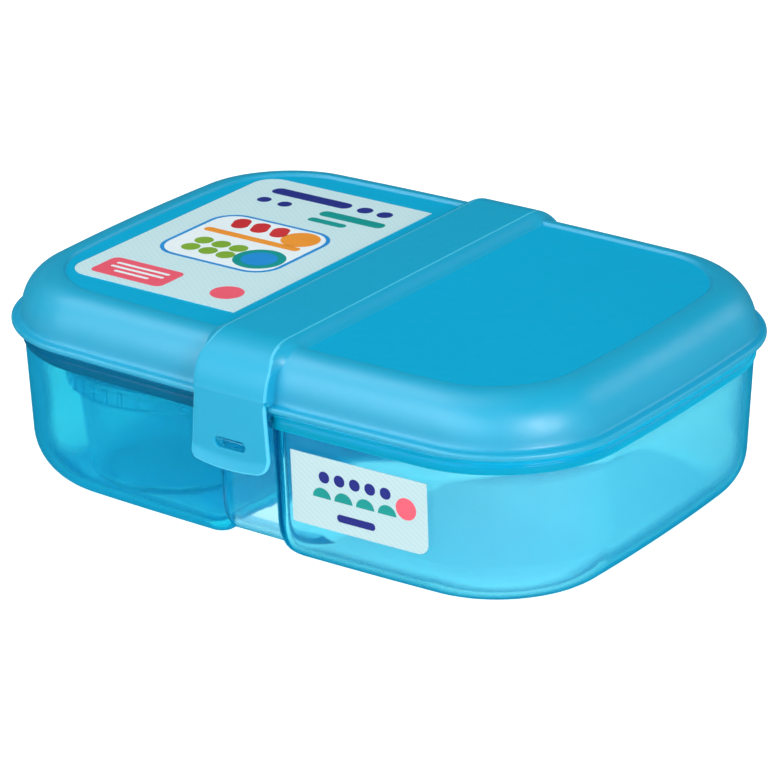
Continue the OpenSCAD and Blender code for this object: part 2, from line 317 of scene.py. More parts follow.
# ---------------------------------------------------------------- lid
def build_lid():
    rings = [crest(2.4, 63.1), shoulder(90, 2.8, 2.1)]
    rings += [shoulder(t, 2.8, 2.1) for t in (80, 70, 60, 50, 40, 31, 22)]
    rings += [flange(6.1, 52.4), flange(6.1, 47.0), flange(5.95, 46.65), flange(5.55, 46.5), flange(5.15, 46.65),
              flange(4.95, 47.0), flange(4.8, 49.35), flange(4.6, 49.5)]
    rings += [flange(1.1, 49.5), flange(0.55, 49.6), flange(0.2, 49.85), flange(0.03, 50.2), flange(0.0, 50.6),
              flange(0.06, 51.0), flange(0.25, 51.3), flange(0.6, 51.5), flange(1.05, 51.56), flange(1.5, 51.56),
              flange(1.95, 51.62), flange(2.35, 51.8), flange(2.65, 52.15), flange(2.82, 52.6)]
    first = len(rings)
    rings += [shoulder(t) for t in (9, 12, 16, 20, 25, 30, 35, 40, 45, 50, 55, 60, 65, 70, 75, 79, 83, 86, 88.5, 90)]
    rings = [r for r in rings]
    crest_at = len(rings)
    rings += [crest(0.35, 65.88), crest(0.62, 65.74), crest(0.8, 65.5), crest(0.95, 65.2), crest(1.15, 65.0), crest(1.45, 64.92), crest(1.9, PANEL_Z)]
    last = len(rings) - 1
    ob = loft("lid_dome", rings, [lid_mat, panel_mat], cap_start=True, cap_end=True,
              mat_of=lambda i: 1 if i >= last - 1 else 0)
    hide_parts("lid_shell")
    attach(ob, "lid")
    return ob


# ---------------------------------------------------------------- ribbon over the lid
FY = -77.9
RB_TOP = 67.8


def band_path():
    """Outer and under line of the ribbon, front to back, as (y, z) pairs."""
    def quarter(y0, z0, y1, z1, degs):
        return [(y0 + (y1 - y0) * (1 - max(math.cos(math.radians(t)), 0) ** EX), z0 + (z1 - z0) * max(math.sin(math.radians(t)), 0) ** EX) for t in degs]
    degs = [0.6, 3, 6, 10, 14, 18, 22, 27, 32, 37, 42, 47, 52, 57, 62, 67, 72, 77, 81, 85, 88, 90]
    out = quarter(77.9, 51.4, 62.6, RB_TOP, degs)
    und = quarter(72.6, 51.4, 62.4, 65.2, degs)
    f_out = [(-y, z) for y, z in out if z > 53.35]
    f_und = [(-y, z) for (y, z), (yo, zo) in zip(und, out) if zo > 53.35]
    f_out = [(-76.05, 51.45), (-76.05, 53.18), (FY, 53.2)] + f_out
    f_und = [(-72.6, 51.40), (-72.6, 52.9), (-72.6, 53.0)] + f_und
    flat = [60.5, 58, 50, 40, 30, 20, 10, 0]
    mid = [-y for y in flat] + [y for y in flat[::-1][1:]]
    out_all = f_out + [(y, RB_TOP) for y in mid]
    und_all = f_und + [(y, 64.5) for y in mid]
    r_out = [(y, z) for y, z in out if z > 51.9]
    r_und = [(y, z) for (y, z), (yo, zo) in zip(und, out) if zo > 51.9]
    out_all += r_out[::-1] + [(77.88, 51.4), (77.8, 50.2), (77.4, 49.75), (76.9, 49.6)]
    und_all += r_und[::-1] + [(73.0, 51.2), (73.0, 50.6), (73.0, 50.2), (73.0, 49.9)]
    return out_all, und_all


def build_ribbon():
    out, und = band_path()
    sec = [(0, 0), (4, 0), (7.5, 0), (9.4, 0.0), (10.2, 0.008), (10.7, 0.03), (11.15, 0.07), (11.55, 0.13), (11.95, 0.205), (12.35, 0.29),
           (12.75, 0.385), (13.15, 0.48), (13.55, 0.575), (13.95, 0.66), (14.35, 0.735), (14.75, 0.80), (15.15, 0.85), (15.6, 0.885), (15.6, 1.0)]
    half = [(-x, f) for x, f in sec[::-1]] + sec[1:]
    rings = []
    for (yo, zo), (yu, zu) in zip(out, und):
        k = 1.0
        low = min(1.0, max(0.0, (67.3 - zo) / 6.5))
        low = low * low * (3 - 2 * low)
        r = []
        for x, f in half:
            g = f
            # the broad fillet lies on the lid; lower down the edge is a plain rounded one
            w = (abs(x) - 9.4) / 6.2 if abs(x) > 9.4 else 0.0
            narrow = 12.1 + 0.62 * (1 - (1 - min(1.0, w * 2.2)) ** 2) if w > 0 else abs(x) * 12.1 / 9.4
            xx = math.copysign(abs(x) * (1 - low) + narrow * low, x) if x else 0.0
            r.append((xx, yo + (yu - yo) * g, zo + (zu - zo) * g))
        rings.append(np.array(r))
    n = len(half)
    verts = np.concatenate(rings)
    faces, fm = [], []
    for i in range(len(rings) - 1):
        for j in range(n):
            j2 = (j + 1) % n
            faces.append((i * n + j, i * n + j2, (i + 1) * n + j2, (i + 1) * n + j))
            near, far = sorted((abs(half[j][0]), abs(half[j2][0])))
            # a strip along each side edge takes the lighter material: a painted highlight
            reach = 10.8 + 0.4 * sum(out[i][1] < h for h in (66.6, 64.4, 61.0))
            lit = near > 10.1 and far < reach and i > 2
            fm.append(2 if lit else 1 if near > 10.1 else 0)
    faces.append(tuple(range(n)))
    faces.append(tuple((len(rings) - 1) * n + j for j in range(n - 1, -1, -1)))
    ob = new_object("ribbon_over_lid", verts, faces, [ribbon_mat, lid_mat, highlight_strip_mat], face_mat=fm + [0, 0])
    sharpen(ob, 60)
    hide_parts("ribbon_band")
    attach(ob, "lid")
    return ob


# ---------------------------------------------------------------- clip
def clip_outline(n=160):
    """Closed outline (x, z) of the flap, one point for each direction from the slot's middle."""
    right = [(0, 53.12), (4, 53.12), (8, 53.12), (12.2, 53.12), (12.62, 53.0), (12.72, 52.5), (12.8, 50), (13.15, 45), (13.5, 40), (13.75, 36.5), (13.85, 35.0),
             (13.8, 34.0), (13.55, 33.1), (13.1, 32.35), (12.4, 31.7), (11.5, 31.25), (10.2, 30.95), (8, 30.62), (5, 30.28), (2.5, 30.13), (0, 30.1)]
    pts = right + [(-x, z) for x, z in right[-2:0:-1]]
    p = np.array(pts, float)
    q = np.roll(p, -1, 0)
    fine = np.concatenate([p[i] * (1 - t) + q[i] * t for i in range(len(p)) for t in [np.linspace(0, 1, 24, endpoint=False)[:, None]]])
    # light smoothing that keeps the corners' place
    for _ in range(6):
        fine = (np.roll(fine, 1, 0) + 2 * fine + np.roll(fine, -1, 0)) / 4
    c = np.array([0, 37.7])
    ang = np.unwrap(np.arctan2(fine[:, 1] - c[1], fine[:, 0] - c[0]))
    seg = np.hypot(*np.diff(np.vstack([fine, fine[:1]]), axis=0).T)
    s = np.concatenate([[0], np.cumsum(seg)[:-1]])
    total = seg.sum()
    # spread evenly along the outline by arc length
    order = np.linspace(0, total, n, endpoint=False)
    x = np.interp(order, np.append(s, total), np.append(fine[:, 0], fine[0, 0]))
    z = np.interp(order, np.append(s, total), np.append(fine[:, 1], fine[0, 1]))
    return np.stack([x, z], 1)


def stadium(direction_pts, half, r, c=(0, 37.7)):
    """Point of a stadium round c in the direction of each given point."""
    out = []
    for x, z in direction_pts:
        dx, dz = x - c[0], z - c[1]
        L = math.hypot(dx, dz)
        dx, dz = dx / L, dz / L
        # ray from the centre to the stadium |p - segment| = r
        lo, hi = 0.0, half + r + 1
        for _ in range(40):
            m = (lo + hi) / 2
            px, pz = dx * m, dz * m
            d = math.hypot(px - max(-half, min(half, px)), pz)
            lo, hi = (m, hi) if d < r else (lo, m)
        out.append((c[0] + dx * lo, c[1] + dz * lo))
    return np.array(out)


def clip_y(x, z):
    """Front face of the flap."""
    zc = 34.1 + 1.5 * (x / 13.7) ** 2
    d = max(0.0, zc - z)
    flare = 1.7 * (d / 4.0) ** 1.35 if d < 4.0 else 1.7 + 0.45 * (d - 4.0)
    return max(FY - flare, -79.58)


def build_clip():
    O = clip_outline()
    c = np.array([0, 37.7])
    H = stadium(O, 3.8, 1.62)
    n = len(O)
    nrm = []
    for i in range(n):
        t = O[(i + 1) % n] - O[i - 1]
        v = np.array([t[1], -t[0]])
        v /= max(np.hypot(*v), 1e-9)
        if np.dot(v, c - O[i]) < 0:
            v = -v
        nrm.append(v)
    nrm = np.array(nrm)
    T = 1.6

    def lay(P, off, back=False):
        r = []
        for (x, z) in P:
            y = clip_y(x, z)
            r.append((x, (y + T - off) if back else (y + off), z))
        return np.array(r)

    R = 0.88
    edge = [(R * (1 - math.sin(a)), R * (1 - math.cos(a))) for a in np.radians([90, 72, 54, 36, 18, 0])]  # (inset, depth)
    rings = []
    # front face: outer edge rounding, then toward the slot
    soft = np.clip((52.7 - O[:, 1]) / 1.2, 0.03, 1.0)[:, None]

    def lay_edge(ins, dep, back=False):
        P = O + nrm * ins * soft
        return np.array([(x, (clip_y(x, z) + T - dep * k) if back else (clip_y(x, z) + dep * k), z) for (x, z), k in zip(P, soft[:, 0])])
    inner_start = O + nrm * R * soft
    for ins, dep in edge:
        rings.append(lay_edge(ins, dep))
    for v in (0.06, 0.14, 0.24, 0.36, 0.5, 0.64, 0.76, 0.86, 0.93):
        rings.append(lay(inner_start * (1 - v) + (H + (H - c) * 0.16) * v, 0.0))
    rings.append(lay(H + (H - c) * 0.16, 0.0))
    for k, dep in ((0.09, 0.02), (0.04, 0.09), (0.01, 0.2), (0.0, 0.36)):
        rings.append(lay(H + (H - c) * k, dep))
    rings.append(lay(H, T * 0.6))
    rings.append(lay(H, 0.15, back=True))
    rings.append(lay(H + (H - c) * 0.05, 0.0, back=True))
    for v in (0.9, 0.7, 0.45, 0.2):
        rings.append(lay(inner_start * (1 - v) + (H + (H - c) * 0.16) * v, 0.0, back=True))
    for ins, dep in edge[::-1]:
        rings.append(lay_edge(ins, dep * 0.7, True))
    # the front face's rounded outer edge takes the lighter material: a painted highlight
    ob = loft("front_clip", rings, [ribbon_mat, highlight_strip_mat], loop=True, mat_of=lambda i: 1 if 0 <= i <= 3 else 0)
    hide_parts("ribbon_clip")
    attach(ob, "clip")
    return ob


# ---------------------------------------------------------------- tub
RB_OUT, RB_IN, RB_CH = 15.3, 13.1, 7.0
DRAFT = 0.0382


def wall_d(z):
    return 2.05 + max(0.0, 44.2 - z) * DRAFT


def outer_inset(z):
    """Inset of the tub's outer wall at height z."""
    if z >= RB_OUT:
        return wall_d(z)
    s = RB_OUT - math.sqrt(max(0.0, RB_OUT ** 2 - (RB_OUT - z) ** 2))
    return wall_d(RB_OUT) + s


def chan_x(z):
    x = 10.0 + max(0.0, 40.5 - z) * 0.0148
    if z < RB_CH:
        x += RB_CH - math.sqrt(max(0.0, RB_CH ** 2 - (RB_CH - z) ** 2))
    return x


def lobe_ring(d, z, xc, rc, r, side, dip=True, nc=28, nf=34, ns=30, nn=10, nch=44):
    a, b = A1 - d, B1 - d
    r = max(r, 2.0)
    p = np.concatenate([
        arc_pts(xc + rc, -(b - rc), rc, 180, 270, nn), line_pts((xc + rc, -b), (a - r, -b), nf),
        arc_pts(a - r, -(b - r), r, 270, 360, nc), line_pts((a, -(b - r)), (a, b - r), ns),
        arc_pts(a - r, b - r, r, 0, 90, nc), line_pts((a - r, b), (xc + rc, b), nf),
        arc_pts(xc + rc, b - rc, rc, 90, 180, nn), line_pts((xc, b - rc), (xc, -(b - rc)), nch)])
    x, y = p[:, 0], p[:, 1]
    s = np.clip((x - xc) / 40.0, 0, 1)
    X = x * (1 + s * BX * (1 - (y / b) ** 2) / a)
    Y = y * (1 + BY * (1 - (x / a) ** 2) / b)
    Z = np.full(len(x), float(z))
    if dip and z > 40:
        # the wall between the wells is lower than the rim
        near = np.clip((xc + 4.0 - x) / 3.0, 0, 1)
        yy = np.clip((67.5 - np.abs(Y)) / 4.5, 0, 1)
        k = near * (yy * yy * (3 - 2 * yy))
        low = 40 + (z - 40) * (43.5 - 40) / (RIM_Z - 40)
        Z = Z * (1 - k) + low * k
    return np.stack([X * side, Y, Z], 1)


def cup_rings(side):
    th = [4, 10, 17, 24, 31, 38, 45, 52, 59, 66, 73, 80, 86, 90]
    rings = []

    def wr(d):
        return WALL_R - 0.5 * (d - 1.7)

    def outer(d, z, r=None):
        rings.append(lobe_ring(d, z, chan_x(z), 5.0 if z > RB_CH else max(5.0 - (RB_CH - z) * 0.25, 3.0), wr(d) if r is None else r, side))

    def inner(d, z, xc, r=None, rc=4.0):
        rings.append(lobe_ring(d, z, xc, rc, wr(d) - 2 if r is None else r, side))

    # rim, from its inner top edge outward and down
    inner(4.35, 48.9, chan_x(48.9) + 2.2)
    inner(4.2, 49.12, chan_x(48.9) + 2.05)
    inner(4.0, RIM_Z, chan_x(48.9) + 1.9)
    outer(1.6, RIM_Z)
    outer(1.3, 49.12)
    outer(1.15, 48.9)
    outer(1.12, 48.65)
    outer(1.25, 48.42)
    outer(1.55, 48.3)
    outer(1.75, 48.15)
    outer(1.8, 47.9)
    outer(1.8, 47.3)
    outer(1.72, 47.08)
    outer(1.5, 46.95)
    outer(1.42, 46.75)
    outer(1.5, 44.95)
    outer(1.58, 44.7)
    outer(1.8, 44.52)
    outer(2.0, 44.42)
    outer(2.05, 44.2)
    for z in (40.5, 36, 31, 26, 21, 17, 15.3):
        outer(wall_d(z), z)
    d0 = wall_d(RB_OUT)
    for t in th:
        s = RB_OUT * (1 - math.cos(math.radians(t)))
        z = RB_OUT * (1 - math.sin(math.radians(t)))
        if z < 1e-6:
            z = 0.0
        outer(d0 + s, z, wr(d0) - s)
    split = len(rings)

    # inside
    inn = []
    zf = 2.0
    rin = RB_IN

    def chan_in(z):
        x = 10.0 + max(0.0, 40.5 - z) * 0.0148 + 2.2
        rr = 6.0
        if z < zf + rr:
            x += rr - math.sqrt(max(0.0, rr ** 2 - (rr - (z - zf)) ** 2))
        return x
    di0 = wall_d(15.1) + 2.3
    for t in (90, 85, 78, 70, 62, 54, 46, 38, 30, 22, 14, 7):
        s = rin * (1 - math.cos(math.radians(t)))
        z = zf + rin * (1 - math.sin(math.radians(t)))
        inn.append((di0 + s, z, chan_in(z), wr(di0) - 2.2 - s))
    for z in (15.1, 20, 26, 32, 38, 43):
        inn.append((wall_d(z) + 2.3, z, chan_in(z), wr(di0) - 2.2))
    inn.append((4.38, 46, chan_in(46), wr(di0) - 2.2))
    inner_rings = [lobe_ring(d, z, xc, 4.0, r, side) for d, z, xc, r in inn]
    return inner_rings + rings


def build_cup(name, side, node, mats):
    rings = cup_rings(side)
    # the rim band takes the second material, darker under the lid's lip: painted shade
    top = [i for i, r in enumerate(rings) if 44.1 < r[:, 2].max() < 49.3 and 44.1 < float(np.median(r[:, 2]))]
    first = min(i for i in top if rings[i][:, 2].max() > RIM_Z - 0.05)
    ob = loft(name, rings, mats, cap_start=True, cap_end=True, mat_of=lambda i: 1 if i >= first and i in top and i + 1 in top else 0)
    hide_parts(node)
    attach(ob, "base")
    return ob


def web_y(z):
    """Outer face of the channel's front web at height z."""
    d = outer_inset(z)
    return -(B1 + BY - d - 5.3)


def build_bridge():
    """Two end webs and the bridge that joins them, with the clip's catch."""
    parts = []
    T = 2.0
    zs = [0.0, 0.3, 0.9, 1.8, 3.0, 4.6, 6.4, 8.5, 11, 13.5, 15.3, 22, 30, 38, 44, 48.7, 49.1]
    for s in (1, -1):
        rings = []
        outer_line, inner_line = [], []
        for z in zs:
            y = web_y(z)
            outer_line.append((y, z))
            zi = max(z, 0)
            # inner line, 2 mm further in along the normal
            dz = 0.05
            y2 = web_y(z + dz)
            ny, nz = dz, -(y2 - y)
            L = math.hypot(ny, nz)
            inner_line.append((y + T * ny / L, z + T * nz / L) if z < 15.3 else (y + T, z))
        loop = outer_line + inner_line[::-1]
        cols = [-1, -0.5, 0, 0.5, 1]
        for c in cols:
            r = []
            for y, z in loop:
                hw = chan_x(min(z, 40.5)) + 1.0
                r.append((c * hw, y * s, z))
            rings.append(np.array(r))
        w = loft("channel_web_front" if s == 1 else "channel_web_rear", rings, [web_lightened_mat], cap_start=True, cap_end=True)
        sharpen(w, 50)
        parts.append(w)
    # bridge slab between the two wells, its upper face flush with the dipped wall
    sec = [(-10.8, 41.6), (-9.8, 41.55), (-8.8, 41.4), (8.8, 41.4), (9.8, 41.55), (10.8, 41.6), (10.8, 43.2), (10.0, 43.4), (-10.0, 43.4), (-10.8, 43.2)]
    rings = [np.array([(x, y, z) for x, z in sec]) for y in np.linspace(-68.4, 68.4, 12)]
    b = loft("channel_bridge_top", rings, [web_lightened_mat], cap_start=True, cap_end=True)
    sharpen(b, 40)
    parts.append(b)
    # catch behind the clip's slot
    bm = bmesh.new()
    prof = [(-75.4, 42.1), (-75.4, 39.0), (-76.9, 38.5), (-77.05, 37.9), (-76.9, 37.0), (-75.4, 36.3), (-75.4, 31.7), (-69.5, 31.2), (-69.5, 42.1)]
    cols = [-6.5, -4.6, 4.6, 6.5]
    rings = []
    for x in cols:
        r = []
        for y, z in prof:
            if abs(x) > 5 and y < -75.4:
                y = -75.4
            r.append((x, y, z))
        rings.append(np.array(r))
    bm.free()
    cb = loft("clip_catch", rings, [web_lightened_mat], cap_start=True, cap_end=True)
    sharpen(cb, 30)
    bevel(cb, 0.35, 3, 30)
    parts.append(cb)
    for i, p in enumerate(parts):
        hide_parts("channel_bridge")
        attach(p, "base")
    return parts


def build_divider():
    """Low wall between the two left wells."""
    pts = []
    for z in (43.2, 36, 28, 20, 16):
        pts.append((-(A1 + BX - wall_d(z) - 1.6), z))
    di0 = wall_d(15.1) + 1.7
    for t in (10, 25, 40, 55, 70, 84):
        s = 13.6 * (1 - math.cos(math.radians(t)))
        pts.append((-(A1 + BX - di0 - s), 1.5 + 13.6 * (1 - math.sin(math.radians(t)))))
    pts += [(-20, 1.5), (-17.2, 1.6), (-14.3, 3.0), (-12.6, 6.0), (-12.0, 10), (-11.8, 20), (-11.6, 30), (-11.5, 40), (-11.5, 43.0)]
    pts = pts[::-1]
    n = len(pts)
    rings = []
    for y, ins in ((-3.3, 0.0), (-2.3, 0.0), (-1.3, 0.0)):
        rings.append(np.array([(x, y + (0.12 if y < -3 else -0.12 if y > -1.5 else 0) * (z / 43), z) for x, z in pts]))
    ob = loft("well_divider", rings, [left_shaded_mat], cap_start=True, cap_end=True)
    sharpen(ob, 50)
    bevel(ob, 0.5, 3, 50)
    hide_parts("well_divider")
    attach(ob, "base")
    return ob


# ---------------------------------------------------------------- hinges at the back
def prism_x(name, sec, x0, x1, mat, body, node, width=0.25):
    rings = [np.array([(x, y, z) for y, z in sec]) for x in (x0, x1)]
    ob = loft(name, rings, [mat], cap_start=True, cap_end=True)
    bevel(ob, width, 2, 40)
    sharpen(ob, 35)
    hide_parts(node)
    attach(ob, body)
    return ob


def circle_sec(cy, cz, r, a0=0, a1=360, n=20):
    return [(cy + r * math.cos(math.radians(a0 + (a1 - a0) * i / n)), cz + r * math.sin(math.radians(a0 + (a1 - a0) * i / n))) for i in range(n + (a1 - a0 != 360))]


def build_hinges():
    hy, hz = 77.4, 47.5
    for s, tag in ((-1, "left"), (1, "right")):
        for e, et in ((-1, "a"), (1, "b")):
            x = s * 50 + e * 6.3
            sec = circle_sec(hy, hz, 2.2, -90, 60, 14) + [(hy, hz + 1.3), (72.9, hz + 1.2), (72.9, hz - 2.2)]
            prism_x(f"hinge_ear_{tag}_{et}", sec, x - 1.5, x + 1.5, tub_mat, "base", f"hinge_ears_{tag}", 0.3)
        prism_x(f"hinge_pin_{tag}", circle_sec(hy, hz, 1.2, n=24), s * 50 - 5.2, s * 50 + 5.2, tub_mat, "base", f"hinge_ears_{tag}", 0.05)
        outer = circle_sec(hy, hz, 2.2, -62, 70, 16)
        sec = outer + [(hy + 0.7, 50.9), (74.2, 51.25), (74.2, 49.6), (75.35, 48.6)] + circle_sec(hy, hz, 2.2, 150, 242, 8)
        inner = circle_sec(hy, hz, 1.27, 232, -52, 20)
        # the hook is a C: outer line, then back along the bore
        loop = sec + inner
        prism_x(f"hinge_hook_piece_{tag}", loop, s * 50 - 4.6, s * 50 + 4.6, lid_mat, "lid", f"hinge_hook_{tag}", 0.12)


# ---------------------------------------------------------------- stickers
def film(name, col, col2, stripe=None, rough=0.38):
    m = Mat(name)
    if stripe:
        sep = m.nt.nodes.new("ShaderNodeSeparateXYZ")
        m.link(m.coord.outputs["Object"], sep.inputs[0])
        dot = m.nt.nodes.new("ShaderNodeVectorMath")
        dot.operation = "DOT_PRODUCT"
        dot.inputs[1].default_value = stripe
        m.link(m.coord.outputs["Object"], dot.inputs[0])
        sn = m.nt.nodes.new("ShaderNodeMath")
        sn.operation = "SINE"
        m.link(dot.outputs["Value"], sn.inputs[0])
        fac = m.ramp(sn.outputs[0], -0.25, 0.25, 0, 1)
        m.link(m.mix(fac, col, col2), m.bsdf.inputs["Base Color"])
    else:
        m.link(m.mix(m.ramp(m.noise(60.0, 3.0), 0.3, 0.7, 0, 1), col, col2), m.bsdf.inputs["Base Color"])
    m.link(m.ramp(m.noise(400.0, 3.0), 0.25, 0.75, rough * 0.9, rough * 1.1), m.bsdf.inputs["Roughness"])
    m.link(m.bump(m.noise(500.0, 2.0), 0.000006), m.bsdf.inputs["Normal"])
    m.set(IOR=1.5, Specular_IOR_Level=0.3)
    return m.m


paper_top = film("film_mint_top", srgb(205, 235, 239), srgb(209, 238, 241), stripe=(2500.0, 3300.0, 0.0))
paper_front = film("film_mint_front", srgb(186, 214, 218), srgb(193, 219, 222), stripe=(2600.0, 0.0, 3600.0))
ink = {
    "navy": film("ink_navy", srgb(34, 40, 130), srgb(38, 45, 138)),
    "teal": film("ink_teal", srgb(12, 148, 142), srgb(16, 156, 149)),
    "coral": film("ink_coral", srgb(244, 92, 112), srgb(248, 98, 118)),
    "amber": film("ink_amber", srgb(246, 150, 40), srgb(250, 160, 52)),
    "leaf": film("ink_leaf", srgb(128, 172, 46), srgb(140, 182, 58)),
    "sky": film("ink_sky", srgb(30, 140, 214), srgb(38, 150, 222)),
    "red": film("ink_red", srgb(204, 40, 44), srgb(214, 50, 52)),
    "white": film("ink_white", srgb(240, 250, 252), srgb(246, 253, 254)),
}


def rrect(cx, cy, w, h, r, n=6, rot=0.0):
    r = min(r, w / 2 - 1e-3, h / 2 - 1e-3)
    p = []
    for qx, qy, a in ((1, 1, 0), (-1, 1, 90), (-1, -1, 180), (1, -1, 270)):
        for i in range(n + 1):
            t = math.radians(a + 90 * i / n)
            p.append((qx * (w / 2 - r) + r * math.cos(t), qy * (h / 2 - r) + r * math.sin(t)))
    c, s = math.cos(rot), math.sin(rot)
    return [(cx + x * c - y * s, cy + x * s + y * c) for x, y in p]


def disc(cx, cy, r, n=40, a0=0.0, a1=360.0):
    full = abs(a1 - a0) >= 360
    p = [(cx + r * math.cos(math.radians(a0 + (a1 - a0) * i / n)), cy + r * math.sin(math.radians(a0 + (a1 - a0) * i / n))) for i in range(n if full else n + 1)]
    return p if full else p + [(cx, cy)]


def wall_front(x, z):
    d = wall_d(z)
    return -(B1 - d + BY * (1 - (x / (A1 - d)) ** 2))


def inlay(name, polys, mat, place, thick, body, node, cell=None):
    """Thin printed shapes; place(u, v, h) puts a point of the drawing on the object, h above the film."""
    bm = bmesh.new()
    for poly in polys:
        top = [bm.verts.new([c * 0.001 for c in place(u, v, thick)]) for u, v in poly]
        bot = [bm.verts.new([c * 0.001 for c in place(u, v, 0.0)]) for u, v in poly]
        k = len(poly)
        bm.faces.new(top)
        bm.faces.new(bot[::-1])
        for i in range(k):
            bm.faces.new((top[i], bot[i], bot[(i + 1) % k], top[(i + 1) % k]))
    bmesh.ops.recalc_face_normals(bm, faces=bm.faces)
    me = bpy.data.meshes.new(name)
    bm.to_mesh(me)
    bm.free()
    me.materials.append(mat)
    ob = bpy.data.objects.new(name, me)
    bpy.context.scene.collection.objects.link(ob)
    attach(ob, body)
    return ob


TOP_Z = PANEL_Z + 0.25


def build_top_label():
    x0, x1, y0, y1, r = -82.5, -18.8, -50.0, 51.5, 7.5
    poly = [(x1, y0), (x1, y1)]
    for cx, cy, a in ((x0 + r, y1 - r, 90), (x0 + r, y0 + r, 180)):
        poly += [(cx + r * math.cos(math.radians(a + 90 * i / 10)), cy + r * math.sin(math.radians(a + 90 * i / 10))) for i in range(11)]
    bm = bmesh.new()
    e = 0.05
    mid = (-50.0, 0.0)

    def lift(p, z, k):
        return (p[0] + (mid[0] - p[0]) * k, p[1] + (mid[1] - p[1]) * k, z)
    layers = [[lift(p, PANEL_Z - 0.05, 0) for p in poly], [lift(p, TOP_Z - 0.04, 0) for p in poly], [lift(p, TOP_Z, 0.002) for p in poly]]
    vs = [[bm.verts.new([c * 0.001 for c in v]) for v in L] for L in layers]
    n = len(poly)
    for a, b in ((0, 1), (1, 2)):
        for i in range(n):
            bm.faces.new((vs[a][i], vs[a][(i + 1) % n], vs[b][(i + 1) % n], vs[b][i]))
    bm.faces.new(vs[2])
    bm.faces.new(vs[0][::-1])
    bmesh.ops.recalc_face_normals(bm, faces=bm.faces)
    me = bpy.data.meshes.new("top_sticker_film")
    bm.to_mesh(me)
    bm.free()
    me.materials.append(paper_top)
    ob = bpy.data.objects.new("top_sticker_film", me)
    bpy.context.scene.collection.objects.link(ob)
    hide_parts("top_label")
    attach(ob, "lid")

    def place(h0):
        return lambda u, v, h: (u, v, TOP_Z + h0 + h)
    shapes = {
        # tray of plain discs and leaves, over a coral foot band
        "sky": [(0, rrect(-51, -2, 44, 40, 9))],
        "white": [(0.02, rrect(-51, -2, 41.4, 37.4, 7.8))],
        "leaf": [(0.04, disc(-63 + 6.6 * i, -13.5 + 6.6 * j, 3.0, 28)) for i in range(3) for j in range(2)],
        "red": [(0.04, rrect(-62.5 + 7.4 * i, 11.2, 5.6, 8.6, 2.7, rot=0.35)) for i in range(3)],
        "amber": [(0.04, disc(-38.5, 9.5, 6.2, 40)), (0.04, rrect(-51.5, 2.0, 36, 3.2, 1.5))],
        "teal": [(0.04, disc(-39, -10.8, 8.2, 48)), (0, rrect(-36, 33, 24, 4.6, 2.2)), (0, rrect(-41, 26.6, 14, 3.2, 1.5))],
        "navy": [(0, rrect(-58, 42, 30, 5.2, 2.5)), (0, disc(-37.5, 42, 2.6, 28)), (0, disc(-30, 42, 2.6, 28)), (0, rrect(-70, 33, 4.6, 4.6, 2.2)), (0, rrect(-62, 33, 4.6, 4.6, 2.2))],
        "coral": [(0, rrect(-63, -39.5, 27, 13.5, 2.4)), (0, disc(-30, -38.5, 5.2, 36))],
    }
    for k, items in shapes.items():
        hs = sorted({h for h, _ in items})
        for h in hs:
            inlay(f"top_print_{k}" + (f"_{int(h * 100)}" if len(hs) > 1 else ""), [p for hh, p in items if hh == h], ink[k], place(h), 0.02, "lid", "top_label")
    # small white bars on the coral block and a ring on the teal disc
    inlay("top_print_bars", [rrect(-63, -36.6, 20, 1.3, 0.6), rrect(-63, -39.5, 20, 1.3, 0.6), rrect(-63, -42.4, 13, 1.3, 0.6)], ink["white"], place(0.03), 0.02, "lid", "top_label")
    inlay("top_print_dot", [disc(-39, -10.8, 5.6, 40)], ink["sky"], place(0.07), 0.02, "lid", "top_label")


def build_front_label():
    x0, x1, z0, z1, r = 18.6, 64.6, 17.0, 39.4, 3.5

    def place(h0):
        return lambda u, v, h: (u, wall_front(u, v) - 0.22 - h0 - h, v)
    xs = list(np.linspace(x0, x1 - r, 36)) + [x1 - r + r * math.sin(math.radians(t)) for t in (15, 30, 45, 60, 72, 82, 90)]
    rows = 14
    front, back = [], []
    for x in xs:
        zb = z0 if x <= x1 - r else z0 + r - math.sqrt(max(0, r * r - (x - (x1 - r)) ** 2))
        for j in range(rows + 1):
            z = zb + (z1 - zb) * j / rows
            front.append((x, wall_front(x, z) - 0.22, z))
            back.append((x, wall_front(x, z) + 0.05, z))
    nx, nz = len(xs), rows + 1
    verts = front + back
    off = len(front)
    faces = []
    for i in range(nx - 1):
        for j in range(nz - 1):
            a, b, c, d = i * nz + j, (i + 1) * nz + j, (i + 1) * nz + j + 1, i * nz + j + 1
            faces.append((a, b, c, d))
            faces.append((off + d, off + c, off + b, off + a))
    for i in range(nx - 1):
        faces.append((i * nz, off + i * nz, off + (i + 1) * nz, (i + 1) * nz))
        a, b = i * nz + nz - 1, (i + 1) * nz + nz - 1
        faces.append((a, b, off + b, off + a))
    for j in range(nz - 1):
        faces.append((j, j + 1, off + j + 1, off + j))
        a = (nx - 1) * nz + j
        faces.append((a, off + a, off + a + 1, a + 1))
    ob = new_object("front_sticker_film", verts, faces, [paper_front])
    sharpen(ob, 50)
    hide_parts("front_label")
    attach(ob, "base")
    shapes = {
        "navy": [rrect(30 + 5.2 * i, 33.2, 3.6, 3.6, 1.7) for i in range(5)] + [rrect(40.5, 21.6, 13, 2.4, 1.1)],
        "teal": [disc(29 + 7.4 * i, 26.6, 3.1, 30, 0, 180) for i in range(4)],
        "coral": [disc(57.6, 30.0, 3.4, 34)],
    }
    for k, polys in shapes.items():
        inlay(f"front_print_{k}", polys, ink[k], place(0.0), 0.03, "base", "front_label")


